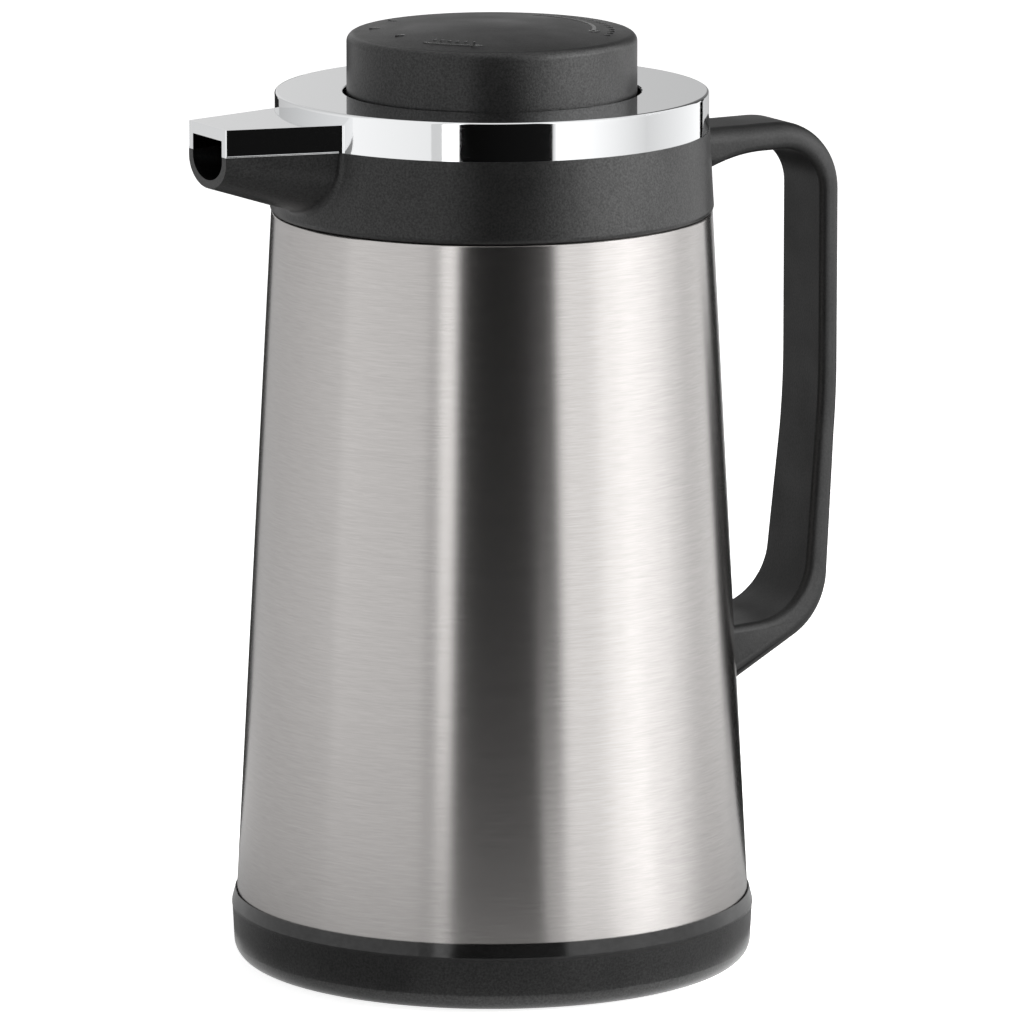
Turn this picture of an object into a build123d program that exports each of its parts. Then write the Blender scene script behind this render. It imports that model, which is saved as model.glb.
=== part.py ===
from build123d import *
import os
from math import cos, hypot, radians, sin

os.makedirs("parts", exist_ok=True)

# Thermal carafe, millimetres. The origin is on the axis, in the plane that the foot ring stands on.
# +Z is up, the spout points to -X and the handle to +X.

# Outer form: heights above the table and radii
seam_z = 19.5  # top of the base, where the steel shell comes out
collar_z = 209.6  # top of the steel, underside of the collar
ring_z = 232.2  # top of the collar, underside of the plated ring
ring_height = 10.6
knob_rise = 15.0  # knob above the ring
foot_stand = 0.6  # foot ring below the base
shell_foot_r = 70.9  # steel at the seam
shell_top_r = 60.6  # steel at the collar
trim_stand = 1.4  # trim ring beyond the steel
base_draft = 0.8  # base narrower at the underside
base_round = 5.0
base_r = shell_foot_r + trim_stand
base_foot_r = base_r - base_draft
collar_stand = 0.4  # collar beyond the steel
collar_draft = 1.3  # collar narrower at its top
collar_round = 1.6
ring_step = 0.2  # plated ring inside the collar's edge
collar_foot_r = shell_top_r + collar_stand
collar_top_r = collar_foot_r - collar_draft
ring_r = collar_top_r - ring_step
ring_round = 0.7
knob_r = 39.8
knob_round = 2.2
knob_dish = 0.8  # hollow of the knob's top
dish_margin = 4.0  # and its distance from the knob's edge

# Walls and clearances
steel_wall = 0.6
base_wall = 2.6
collar_wall = 2.4
ring_wall = 1.6
knob_wall = 2.2
glass_wall = 1.6
mould_gap = 0.25  # between separate mouldings that sit side by side
knob_gap = 1.0  # knob to the plated ring
slide_gap = 0.4  # stem in its guide, stopper in its well
seal_gap = 0.3  # a soft seal drawn free of its seat
bearing_gap = 0.05  # knob spindle in its bearing
thread_gap = 0.5  # crest clearance of a lifting screw drawn without its thread

# Base
trim_height = 4.3
trim_edge = 0.7  # upright edge of the trim ring under its chamfer
trim_lip = 0.1  # trim beyond the base under it
shell_tuck = 6.0  # steel below the seam
hem = 3.5  # inturned foot of the steel
hem_seat = 1.5  # ledge beyond the hem
cap_height = 13.4
cap_floor = 2.8
cap_inset = 0.6  # cap above the base's underside
grip_r = 30.0  # recess under the bottom cap, with a rib across it
grip_depth = 5.0
grip_rib = 5.0
grip_draft = 2.0  # slope of the recess's wall
foot_width = 5.0
foot_depth = 1.2  # sunk in the base
foot_margin = 2.0  # flat underside between the foot ring and the base's rounded edge
cap_margin = 5.5  # and between the foot ring and the bottom cap's opening
foot_r = base_foot_r - base_round - foot_margin - foot_width / 2  # to the middle of its section
cap_r = foot_r - foot_width / 2 - cap_margin

# Glass flask
flask_room = 6.1  # flask to the steel's upper edge
flask_r = shell_top_r - flask_room
flask_foot_z = 19.0
flask_foot_rise = 27.0  # height of the bottom dome
flask_lip_drop = 6.6  # lip under the collar's foot
flask_lip_z = collar_z - flask_lip_drop
flask_shoulder_z = 168.0
flask_shoulder_rise = 22.0
vacuum = 3.6  # gap between the two glass walls
mouth_r = 20.5
neck_vacuum = 2.5
neck_bend = 6.0
tip_r = 3.5
tip_length = 5.0
spacer_r = 5.0
spacer_z = 60.0
spacer_count = 3
cushion_r = 26.0
tip_room = 4.0  # cushion's hole beyond the tip
band_z = 148.0
band_height = 12.0
gasket_height = 2.5
gasket_wall = 1.9
gasket_skirt = 3.5
gasket_play = 0.1

# Collar and pouring chamber
tuck_step = 3.0  # inward step of the steel under the collar
tuck_height = 4.0
skirt_step = 6.0  # the collar fits this far up inside on the tucked steel
flange_reach = 9.6  # steel's top flange, inwards
flange_r = shell_top_r - tuck_step - flange_reach
clamp_height = 2.8
deck = 2.4
well_wall = 2.2
well_margin = 0.6  # well inside the knob's edge
well_r = knob_r - well_margin - well_wall
well_outer = well_r + well_wall
flange_thick = 1.8  # flange under the deck that the well is welded by
flange_width = 3.0
well_rise = 3.8
well_top_z = ring_z + well_rise
floor_rise = 6.4
floor_z = collar_z + floor_rise  # floor of the pouring chamber at its wall
seat_r = 25.5
seat_drop = 3.2
seat_z = floor_z - seat_drop
seat_depth = 4.0  # 45 degree valve seat
neck_foot_wall = 6.9

# Spout
spout_length = 28.6  # beyond the collar
spout_reach = collar_top_r + spout_length
spout_half = 10.6  # half width at the tip
spout_taper = 0.243  # half width gained per millimetre towards the axis
spout_depth = 9.6  # lower half at the tip
spout_seat = 3.76  # underside above the collar's foot, where it reaches the collar
spout_fall = (ring_z - collar_z - spout_seat - spout_depth) / spout_length  # underside, per millimetre
spout_side = 0.17  # upright share of the lower half's side
spout_wall = 2.3
spout_blend = 2.4  # lower spout into the collar
spout_inner_x = collar_foot_r - 11.0  # lower spout starts here, inside the collar
cover_height = 7.6  # plated cover above the parting line
cover_top = 3.2
cover_side = 2.4
cover_root_round = 1.2  # where the cover's sides meet the ring
cover_edge_round = 0.5
duct_half = 14.0
duct_floor = 2.2
window_margin = 0.6  # stopper's carrier to the opening from the well into the duct
well_floor = 2.8
pad_half_width = 10.0  # boss for the handle's upper screws
pad_half_height = 4.5
pad_thick = 1.6

# Handle: side view in the XZ plane, inner side from collar to steel and outer side back again
grip_x = 99.9
grip_thick = 7.6
arm_drop = 11.5  # upper arm's underside below the plated ring
arm_z = ring_z - arm_drop
arm_depth = 7.5
arm_flare = 8.1  # the arm's underside drops towards the collar
arm_run = 25.9  # level part of the underside, up to the grip
arm_flare_x = grip_x - arm_run
foot_z = 87.0  # top of the lower end
foot_height = 16.5  # lower end, towards the steel
foot_drop = 8.2  # its underside falls this much further towards the axis
foot_swell = 2.6  # outer line's bend beyond the fingers' side
foot_lift = 1.4
foot_toe = 2.0  # rise of the inner line's lower bend
lean_z = 150.0  # below this height the grip leans inwards
lean = 6.0
handle_root = collar_top_r - 10.0  # both ends reach this far in before they are scribed to the body
inner_bends = (45.0, 15.0, 260.0, 17.6)
outer_bends = (36.0, 260.0, 21.5)
handle_half = 10.7
handle_foot_half = 17.5
flare_z = 135.0  # below this height the handle widens
back_round = 6.1  # the D section's back
handle_corner = 1.0
handle_wall = 2.0
cover_thick = 2.2
cover_inset = 1.8  # flat rim beside the cover, past the eased corner
hollow_inset = 4.1  # hollow in from the handle's sides
blind_wall = 0.5  # foot screw's hole to the hollow
cover_lap = 2.0  # cover past the hollow, towards the body
plate_thick = 4.0
plate_half_width = 11.0
plate_half_height = 8.0

# Stopper
carrier_height = 10.0
carrier_wall = 3.8
carrier_rim = 1.6
rim_margin = 0.2  # rim inside the well's outer edge
carrier_floor = 2.4
tower_cap = 2.2
seal_rise = 1.8  # seal above the carrier's underside
seal_section = 2.2
seal_round = 0.5
spindle_r = 8.0
shoulder_width = 3.0
shoulder_height = 2.2
shoulder_gap = 0.2  # shoulder above the tower
boss_clear = 2.6  # knob's boss above the tower
screw_r = 6.4  # lifting screw
stem_r = 13.2
stem_drop = 7.5  # closed valve's stem below the well's edge
guide_reach = 4.6  # tower below the carrier
stem_top_z = well_top_z - stem_drop
guide_foot_z = well_top_z - carrier_height - guide_reach
guide_wall = 3.6
valve_lift = 6.0
key_width = 3.0
key_height = 5.0
key_depth = 2.0
key_drop = 1.5  # keys below the stem's end
clip_r = 10.5
clip_thick = 1.0
clip_room = 2.0  # raised stem to the clip's underside
clip_play = 0.2
clip_bite = 1.0  # depth in the spindle's groove
clip_lip = 0.95  # spindle below its groove
clip_open = 4.0
nut_depth = 22.0
spindle_room = 0.6  # knob's ceiling above the spindle's bore
spindle_end_gap = 0.4
valve_r = 24.0
valve_disc = 2.4
valve_round = 1.0
flank_drop = 0.8  # seal's upper edge below the seat's
disc_sink = 0.6
plug_r = 19.6
plug_wall = 1.6
plug_depth = 14.2  # valve's underside below its seat
plug_foot_z = seat_z - plug_depth
plug_foot_height = 5.3
plug_floor = 1.8
plug_round = 1.5
spigot_height = 2.7
spigot_play = 0.1
seal_thick = 1.4
seal_lip = 1.5  # upright edge of the cone seal
foam_gap = 0.25
rib_count = 6
rib_half = 0.8
rib_height = 5.0

# Fasteners
screw_shank = 1.5
screw_head = 3.0
screw_head_height = 1.8
screw_length = 12.0
ring_screw_length = 8.4
boss_r = 3.4
foot_screw_length = 14.0
top_screw_length = 10.0
screw_tip_gap = 0.4  # blind hole beyond a screw
collar_screw_r = flange_r + flange_reach / 2
ring_screw_r = (well_outer + flange_width + collar_top_r - collar_wall) / 2
handle_screw_y = 5.5
handle_screw_drop = 9.6
handle_screw_z = ring_z - handle_screw_drop
foot_screw_z = 78.6

knob_top = ring_z + ring_height + knob_rise
ring_top = ring_z + ring_height
knob_foot = well_top_z + carrier_rim + 0.8
trim_z = seam_z - trim_height
shell_low = seam_z - shell_tuck
shell_high = collar_z + tuck_height
tower_top = stem_top_z + valve_lift + clip_thick + clip_room
nut_floor = stem_top_z - nut_depth
cap_top = foot_stand + cap_inset + grip_depth + cap_floor
clip_top = tower_top - clip_play
window_top = well_top_z - carrier_height - window_margin
seal_line = seat_r - seat_z - seal_gap * 2**0.5  # radius less height along the 45 degree seal
flank_z = seat_z - flank_drop
flank_r = flank_z + seal_line - seal_thick
seal_foot_z = flank_z - (flank_r - plug_r)


def steel_radius(z):
    """Outer radius of the steel cone at a height."""
    return shell_foot_r + (z - seam_z) * (shell_top_r - shell_foot_r) / (collar_z - seam_z)


def collar_radius(z):
    """Outer radius of the collar's cone at a height."""
    return collar_foot_r - (z - collar_z) * collar_draft / (ring_z - collar_z)


pad_x = collar_radius(handle_screw_z) - collar_wall - pad_thick  # inner face of that boss

def turned(points, rounds=()):
    """Solid of revolution about Z from a closed (radius, height) outline, some corners rounded."""
    face = make_face(Polyline(*points, close=True))
    for corner, radius in rounds:
        nearest = face.vertices().sort_by_distance(Vector(corner[0], corner[1], 0))[0]
        face = fillet(nearest, radius)
    return revolve(Plane.XZ * face, axis=Axis.Z)


def rod(radius, length, base):
    """Upright cylinder standing on a point."""
    return Pos(*base) * Cylinder(radius, length, align=(Align.CENTER, Align.CENTER, Align.MIN))


def cross_rod(radius, length, base):
    """Cylinder along +X from a point."""
    lying = Rot(0, 90, 0) * Cylinder(radius, length, align=(Align.CENTER, Align.CENTER, Align.MIN))
    return Pos(*base) * lying


def around(count, radius, start=0.0):
    """Points evenly spaced on a circle."""
    turns = [radians(start + 360.0 * i / count) for i in range(count)]
    return [(radius * cos(a), radius * sin(a)) for a in turns]


def group(solids):
    """Separate solids kept in one node."""
    return Compound(children=list(solids))


def block(low, high):
    """Box between two corners."""
    size = [high[i] - low[i] for i in range(3)]
    return Pos(*low) * Box(*size, align=(Align.MIN, Align.MIN, Align.MIN))


# ---- base ----

def base_ring():
    """Moulded base: outer wall, ledge for the steel's hem, threaded tube for the bottom cap."""
    inner = base_foot_r - base_wall
    ledge = steel_radius(shell_low) - hem - hem_seat
    body = turned(
        [
            (cap_r, foot_stand),
            (base_foot_r, foot_stand),
            (base_r - trim_lip, trim_z),
            (steel_radius(trim_z) + mould_gap, trim_z),
            (steel_radius(shell_low) + mould_gap, shell_low),
            (ledge, shell_low),
            (ledge, shell_low - base_wall),
            (inner, shell_low - base_wall - hem_seat),
            (inner, foot_stand + base_wall),
            (cap_r + base_wall, foot_stand + base_wall),
            (cap_r + base_wall, foot_stand + cap_height),
            (cap_r, foot_stand + cap_height),
        ],
        [((base_foot_r, foot_stand), base_round)],
    )
    groove = turned(
        [
            (foot_r - foot_width / 2, foot_stand - 1),
            (foot_r + foot_width / 2, foot_stand - 1),
            (foot_r + foot_width / 2, foot_stand + foot_depth),
            (foot_r - foot_width / 2, foot_stand + foot_depth),
        ]
    )
    return body - groove


def base_trim():
    """Polished ring with a chamfered top that closes the joint between base and steel."""
    low = steel_radius(trim_z) + mould_gap
    high = steel_radius(seam_z) + mould_gap
    return turned(
        [
            (low, trim_z),
            (base_r, trim_z),
            (base_r, trim_z + trim_edge),
            (high + mould_gap, seam_z),
            (high, seam_z),
        ]
    )


def foot_ring():
    """Soft ring that the carafe stands on, pressed into the base's groove."""
    half = foot_width / 2
    top = foot_stand + foot_depth
    return turned([(foot_r - half, 0), (foot_r + half, 0), (foot_r + half, top), (foot_r - half, top)])


def bottom_cap():
    """Screw-in cap that carries the flask, with a finger recess and a grip rib underneath."""
    r = cap_r - slide_gap
    z = foot_stand + cap_inset
    cap = turned(
        [
            (0, z + grip_depth),
            (grip_r - grip_draft, z + grip_depth),
            (grip_r, z),
            (r, z),
            (r, foot_stand + cap_height),
            (r - base_wall, foot_stand + cap_height),
            (r - base_wall, z + cap_floor),
            (grip_r + cap_floor, z + cap_floor),
            (grip_r + cap_floor, z + grip_depth + cap_floor),
            (0, z + grip_depth + cap_floor),
        ]
    )
    rib = block((-grip_r, -grip_rib / 2, z), (grip_r, grip_rib / 2, z + grip_depth))
    rib &= turned([(0, z), (grip_r, z), (grip_r - grip_draft, z + grip_depth), (0, z + grip_depth)])
    return cap + rib


# ---- flask ----

def dome_outline(r, foot, neck, bend, shoulder_top, top):
    """Half outline of a flask wall: bottom dome, side, shoulder, bend and neck."""
    dome = EllipticalCenterArc((0, foot + flask_foot_rise), r, flask_foot_rise, start_angle=-90, arc_size=90)
    side = Line((r, foot + flask_foot_rise), (r, flask_shoulder_z))
    rise = shoulder_top - flask_shoulder_z
    middle = neck + bend
    shoulder = EllipticalCenterArc((middle, flask_shoulder_z), r - middle, rise, start_angle=0, arc_size=90)
    bow = CenterArc((middle, shoulder_top + bend), bend, 180, 90)
    neck_line = Line((neck, shoulder_top + bend), (neck, top))
    rest = Polyline((neck, top), (0, top), (0, foot))
    return make_face(Curve() + [dome, side, shoulder, bow, neck_line, rest])


def flask_wall(r, foot, neck, bend, shoulder_top, top):
    """One blown glass wall, open at its mouth."""
    outer = dome_outline(r, foot, neck, bend, shoulder_top, top)
    t = glass_wall
    inner = dome_outline(r - t, foot + t, neck - t, bend + t, shoulder_top - t, top)
    return revolve(Plane.XZ * (outer - inner), axis=Axis.Z)


def flask_outer():
    """Outer glass wall with the sealed pumping tip at its bottom."""
    neck = mouth_r + 2 * glass_wall + neck_vacuum
    top = flask_lip_z - glass_wall
    wall = flask_wall(flask_r, flask_foot_z, neck, neck_bend, flask_shoulder_z + flask_shoulder_rise, top)
    low = flask_foot_z - tip_length
    tip = turned([(0, low), (tip_r / 3, low), (tip_r, flask_foot_z + 0.5), (0, flask_foot_z + 0.5)])
    return wall + tip


def flask_inner():
    """Inner glass wall with the lip that closes the vacuum at the mouth."""
    step = glass_wall + vacuum
    neck = mouth_r + glass_wall
    shoulder_top = flask_shoulder_z + flask_shoulder_rise - step
    bend = neck_bend + vacuum
    wall = flask_wall(flask_r - step, flask_foot_z + step, neck, bend, shoulder_top, flask_lip_z)
    lip_r = neck + neck_vacuum + glass_wall
    lip = turned(
        [
            (mouth_r, flask_lip_z - glass_wall),
            (lip_r, flask_lip_z - glass_wall),
            (lip_r, flask_lip_z),
            (mouth_r, flask_lip_z),
        ],
        [((lip_r, flask_lip_z), glass_wall * 0.6)],
    )
    return wall + lip


def flask_spacers():
    """Pads that keep the two glass walls apart."""
    inner = flask_r - glass_wall - vacuum
    gap = turned(
        [
            (inner, spacer_z - 2 * spacer_r),
            (inner + vacuum, spacer_z - 2 * spacer_r),
            (inner + vacuum, spacer_z + 2 * spacer_r),
            (inner, spacer_z + 2 * spacer_r),
        ]
    )
    pad = gap & cross_rod(spacer_r, flask_r, (0, 0, spacer_z))
    return group(Rot(0, 0, 360.0 * i / spacer_count + 60) * pad for i in range(spacer_count))


def flask_cushion():
    """Rubber cup on the bottom cap, dished to the glass and open for its tip."""
    rim = flask_foot_z + flask_foot_rise * (1 - (1 - (cushion_r / flask_r) ** 2) ** 0.5)
    low = cap_top
    hole = tip_r + tip_room
    cup = turned([(hole, low), (cushion_r, low), (cushion_r, rim), (hole, rim)])
    shoulder = flask_shoulder_z + flask_shoulder_rise
    glass = dome_outline(flask_r, flask_foot_z, mouth_r, neck_bend, shoulder, flask_lip_z)
    return cup - revolve(Plane.XZ * glass, axis=Axis.Z)


def flask_band():
    """Foam band that centres the flask in the shell."""
    top = band_z + band_height
    clear = steel_wall + mould_gap
    return turned(
        [
            (flask_r, band_z),
            (steel_radius(band_z) - clear, band_z),
            (steel_radius(top) - clear, top),
            (flask_r, top),
        ]
    )


def neck_gasket():
    """Silicone ring over the flask's lip, clamped by the collar's neck."""
    lip_r = mouth_r + 2 * glass_wall + neck_vacuum
    top = flask_lip_z + gasket_height
    return turned(
        [
            (mouth_r + seal_gap, flask_lip_z),
            (lip_r + gasket_play, flask_lip_z),
            (lip_r + gasket_play, flask_lip_z - gasket_skirt),
            (lip_r + gasket_wall, flask_lip_z - gasket_skirt),
            (lip_r + gasket_wall, top),
            (mouth_r + seal_gap, top),
        ]
    )


# ---- shell and collar ----

def steel_shell():
    """Drawn steel cone, hemmed at its foot and stepped in under the collar, with a top flange."""
    t = steel_wall
    neck_r = shell_top_r - tuck_step
    shell = turned(
        [
            (steel_radius(shell_low), shell_low),
            (shell_top_r, collar_z),
            (neck_r, collar_z),
            (neck_r, shell_high),
            (flange_r, shell_high),
            (flange_r, shell_high - t),
            (neck_r - t, shell_high - t),
            (neck_r - t, collar_z - t),
            (shell_top_r - t, collar_z - t),
            (steel_radius(shell_low) - t, shell_low + t),
            (steel_radius(shell_low) - hem, shell_low + t),
            (steel_radius(shell_low) - hem, shell_low),
        ],
        [((shell_top_r, collar_z), 0.5)],
    )
    for x, y in around(4, collar_screw_r, 45):
        shell -= rod(screw_shank, 4, (x, y, shell_high - 2))
    for y in (-handle_screw_y, handle_screw_y):
        shell -= cross_rod(screw_shank, 2 * plate_thick, (foot_seat_x(), y, foot_screw_z))
    return shell


def spout_section(x, half, depth):
    """Lower spout's section at a distance along the spout: upright sides and a rounded bottom."""
    upright = depth * spout_side
    plane = Plane(origin=(x, 0, ring_z), x_dir=(0, 1, 0), z_dir=(1, 0, 0))
    edges = [
        Line((-half, 0), (half, 0)),
        Line((half, 0), (half, -upright)),
        EllipticalCenterArc((0, -upright), half, depth - upright, start_angle=180, arc_size=180),
        Line((-half, -upright), (-half, 0)),
    ]
    return plane * make_face(edges)


def spout_lower(near, far, wall):
    """Tapering trough between two distances from the axis, drawn in by a wall."""
    faces = []
    for reach in (far, near):
        half = spout_half + spout_taper * (spout_reach - reach) - wall
        depth = spout_depth + spout_fall * (spout_reach - reach) - wall
        faces.append(spout_section(-reach, half, depth))
    return loft(faces)


def collar_outside():
    """Filled outer form of the collar: a cone with the lower spout blended into it."""
    body = turned(
        [(0, collar_z), (collar_foot_r, collar_z), (collar_top_r, ring_z), (0, ring_z)],
        [((collar_foot_r, collar_z), collar_round)],
    )
    far = spout_reach + 1
    trough = spout_lower(spout_inner_x, spout_reach, 0)
    body += trough & block((-far, -ring_r, collar_z + collar_round), (0, ring_r, ring_z))
    joint = []
    for edge in body.edges():
        x, y, z = edge @ 0.5
        on_cone = abs(hypot(x, y) - collar_radius(z)) < collar_wall / 4
        if on_cone and x < 0 and collar_z + collar_round < z < ring_z - 0.5:
            joint.append(edge)
    return fillet(joint, spout_blend)


def collar():
    """Black moulding: conical skirt, deck with the well's opening, pouring duct and lower spout."""
    skirt_foot = shell_top_r - tuck_step + mould_gap
    skirt_x = collar_top_r - collar_wall
    under = ring_z - deck
    low = collar_z - 1
    step = collar_z + skirt_step
    body = collar_outside()
    body -= turned([(0, low), (skirt_foot, low), (skirt_foot, step), (skirt_x, under), (0, under)])
    duct_wall = duct_half + collar_wall
    body += block((-skirt_x, -duct_wall, floor_z - duct_floor), (-well_r, duct_wall, ring_z))
    body -= rod(well_outer, ring_z, (0, 0, collar_z))
    channel = spout_lower(spout_inner_x, spout_reach + 1, spout_wall)
    body -= channel & block((-spout_reach - 2, -ring_r, floor_z), (0, ring_r, ring_z + 1))
    body -= block((-skirt_x - 1, -duct_half, floor_z), (-well_outer + 1, duct_half, ring_z + 1))
    for x, y in around(4, collar_screw_r, 45):
        body += rod(boss_r, under - shell_high, (x, y, shell_high))
        body -= rod(screw_shank, screw_length, (x, y, shell_high - 1))
    body += block(
        (pad_x, -pad_half_width, handle_screw_z - pad_half_height),
        (pad_x + pad_thick + collar_wall / 3, pad_half_width, handle_screw_z + pad_half_height),
    )
    for y in (-handle_screw_y, handle_screw_y):
        body -= cross_rod(screw_shank, collar_foot_r - pad_x + 2, (pad_x - 1, y, handle_screw_z))
    for x, y in ring_screw_spots():
        body -= rod(screw_shank, deck + 2, (x, y, under - 1))
    return body


def pour_well():
    """Well that the stopper closes: valve seat, sloping floor, wall with the duct's window, welded flange."""
    neck_foot = flask_lip_z + gasket_height
    bore = seat_r - seat_depth
    under = ring_z - deck
    duct_wall = duct_half + collar_wall
    well = turned(
        [
            (bore, neck_foot),
            (bore + neck_foot_wall, neck_foot),
            (bore + neck_foot_wall, seat_z - seat_depth),
            (well_outer, floor_z - well_floor),
            (well_outer, well_top_z),
            (well_r, well_top_z),
            (well_r, floor_z),
            (seat_r, seat_z),
            (bore, seat_z - seat_depth),
        ]
    )
    flange = turned(
        [
            (well_outer - 0.5, under - flange_thick),
            (well_outer + flange_width, under - flange_thick),
            (well_outer + flange_width, under),
            (well_outer - 0.5, under),
        ]
    )
    well += flange - block((-ring_r, -duct_wall, collar_z), (0, duct_wall, ring_z))
    return well - block((-well_outer - 1, -duct_half, floor_z), (-well_r + 3, duct_half, window_top))


def ring_screw_spots():
    """Places of the ring's screws: beside the handle and at both flanks, clear of the duct."""
    return [(ring_screw_r, 0), (0, ring_screw_r), (0, -ring_screw_r)]


def clamp_ring():
    """Ring under the steel's flange that the collar's screws pull up."""
    low = shell_high - steel_wall - clamp_height
    high = shell_high - steel_wall
    outer = shell_top_r - tuck_step - steel_wall - mould_gap
    ring = turned([(flange_r, low), (outer, low), (outer, high), (flange_r, high)])
    for x, y in around(4, collar_screw_r, 45):
        ring -= rod(screw_shank, clamp_height + 2, (x, y, low - 1))
    return ring


def wedge(near, far, inset, low, high):
    """Tapering slab of the spout's width between two distances and two heights."""
    tip = spout_half + spout_taper * (spout_reach - far) - inset
    root = spout_half + spout_taper * (spout_reach - near) - inset
    face = make_face(Polyline((-far, -tip), (-near, -root), (-near, root), (-far, tip), close=True))
    return Pos(0, 0, low) * extrude(face, amount=high - low)


def cover_plan():
    """Plan of the ring and the spout's cover, with its corners rounded."""
    root = spout_half + spout_taper * spout_reach
    tip = spout_half
    corners = [(-spout_reach, -tip), (0, -root), (0, root), (-spout_reach, tip)]
    plan = Circle(ring_r) + make_face(Polyline(*corners, close=True))
    plan = fillet(plan.vertices().group_by(Axis.X)[1], cover_root_round)
    return fillet(plan.vertices().group_by(Axis.X)[0], cover_edge_round)


def top_ring():
    """Plated ring around the knob, in one piece with the cover of the spout."""
    hole = knob_r + knob_gap
    band_in = ring_r - ring_wall
    under = ring_top - ring_wall
    hub = hole + ring_wall
    body = turned(
        [
            (ring_r, ring_z),
            (ring_r, ring_top),
            (hole, ring_top),
            (hole, ring_z),
            (hub, ring_z),
            (hub, under),
            (band_in, under),
            (band_in, ring_z),
        ],
        [((ring_r, ring_top), ring_round), ((hole, ring_top), 0.5)],
    )
    cover = Pos(0, 0, ring_z) * extrude(cover_plan(), amount=cover_height)
    body += cover - rod(band_in, ring_z, (0, 0, ring_z - 1))
    inner = spout_lower_ceiling()
    duct = duct_half + cover_side
    body += block((-band_in, -duct, ring_z), (-hub + 0.5, duct, inner + ring_wall))
    body -= wedge(band_in - 2, spout_reach + 1, cover_side, ring_z - 1, inner)
    body -= block((-band_in - 0.5, -duct_half, ring_z - 1), (-hub, duct_half, inner))
    for x, y in ring_screw_spots():
        body += rod(boss_r, under - ring_z, (x, y, ring_z))
        body -= rod(screw_shank, ring_screw_length, (x, y, ring_z - deck))
    return body


def spout_lower_ceiling():
    """Height of the channel's ceiling under the plated cover."""
    return ring_z + cover_height - cover_top


# ---- handle ----

inner_corners = [
    (handle_root, arm_z - arm_flare),
    (arm_flare_x, arm_z),
    (grip_x, arm_z),
    (grip_x, lean_z),
    (grip_x - lean, foot_z + foot_toe),
    (handle_root, foot_z),
]
outer_corners = [
    (handle_root, foot_z - foot_height - foot_drop),
    (grip_x + foot_swell, foot_z + foot_lift),
    (grip_x + grip_thick, lean_z),
    (grip_x + grip_thick, arm_z + arm_depth),
    (handle_root, arm_z + arm_depth),
]


def handle_inner_line():
    """Line of the fingers' side: straight runs joined by arcs."""
    return FilletPolyline(*inner_corners, radius=list(inner_bends))


def handle_profile():
    """Side view of the handle as a closed face."""
    face = make_face(Polyline(*inner_corners, *outer_corners, close=True))
    corners = list(zip(inner_corners[1:5], inner_bends)) + list(zip(outer_corners[1:4], outer_bends))
    for (x, z), radius in corners:
        face = fillet(face.vertices().sort_by_distance(Vector(x, z, 0))[0], radius)
    return face


def through(face):
    """Prism of a side view, across the whole handle."""
    return extrude(Plane.XZ * face, amount=handle_foot_half + 5, both=True)


def handle_front(inset):
    """Prism of the handle's front view, drawn in at both sides: straight above, flared to the foot."""
    half = handle_half - inset
    foot = handle_foot_half - inset
    low = foot_z - foot_height - 10.0
    high = arm_z + arm_depth + 5.0
    right = TangentArc((half, flare_z), (foot, low), tangent=(0, -1))
    left = TangentArc((-half, flare_z), (-foot, low), tangent=(0, -1))
    top = Polyline((half, flare_z), (half, high), (-half, high), (-half, flare_z))
    face = make_face([right, left, top, Line((-foot, low), (foot, low))])
    front = Plane(origin=(handle_root - 1, 0, 0), x_dir=(0, 1, 0), z_dir=(1, 0, 0)) * face
    return extrude(front, amount=grip_x + grip_thick + 5 - handle_root)


def arm_edges(body, y, z):
    """Level edges of the upper arm at a distance from its middle; a fillet follows them to the foot."""
    found = []
    for edge in body.edges().filter_by(Axis.X):
        middle = edge @ 0.5
        if abs(abs(middle.Y) - y) < 0.01 and abs(middle.Z - z) < 0.01:
            found.append(edge)
    return found


def handle_solid():
    """Whole handle: side and front views crossed, then its back rounded to a D and its corners eased."""
    body = through(handle_profile()) & handle_front(0)
    body = fillet(arm_edges(body, handle_half, arm_z + arm_depth), back_round)
    return fillet(arm_edges(body, handle_half, arm_z), handle_corner)


def hollow_x():
    """Where the hollow begins, beyond the foot screws' blind holes."""
    return foot_seat_x() + foot_screw_length + screw_tip_gap + blind_wall


def beyond(x, inset):
    """Space between the handle's sides, away from the body."""
    far = grip_x + 2 * grip_thick
    high = arm_z + 2 * arm_depth
    return handle_front(inset) & block((x, -handle_foot_half, 0), (far, handle_foot_half, high))


def rabbet(play):
    """Strip of the cover's thickness under the fingers' side, drawn in by a play all round."""
    strip = Plane.XZ * trace(handle_inner_line(), line_width=2 * cover_thick)
    prism = extrude(strip, amount=handle_foot_half + 5, both=True)
    return prism & beyond(hollow_x() - cover_lap + play, cover_inset + play)


def body_envelope():
    """Outside of the collar and steel, which the handle's ends are scribed to."""
    return turned(
        [
            (0, seam_z),
            (shell_foot_r, seam_z),
            (shell_top_r, collar_z),
            (collar_foot_r, collar_z),
            (collar_top_r, ring_z),
            (0, ring_z),
        ]
    )


def handle_shell():
    """Grip moulding with a D section, hollow between its joints and open to the fingers' side."""
    shell = handle_solid()
    shell -= rabbet(0)
    shell -= through(offset(handle_profile(), -handle_wall)) & beyond(hollow_x(), hollow_inset)
    shell -= body_envelope()
    for y in (-handle_screw_y, handle_screw_y):
        shell -= cross_rod(screw_shank, top_screw_length + screw_tip_gap, (pad_x, y, handle_screw_z))
        shell -= cross_rod(screw_shank, foot_screw_length + screw_tip_gap, (foot_seat_x(), y, foot_screw_z))
    return shell


def handle_cover():
    """Strip that closes the grip on the side of the fingers."""
    return rabbet(mould_gap / 2) & handle_solid()


def foot_seat_x():
    """Flat inner face of the plate behind the handle's foot."""
    return steel_radius(foot_screw_z) - steel_wall - plate_thick


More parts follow.
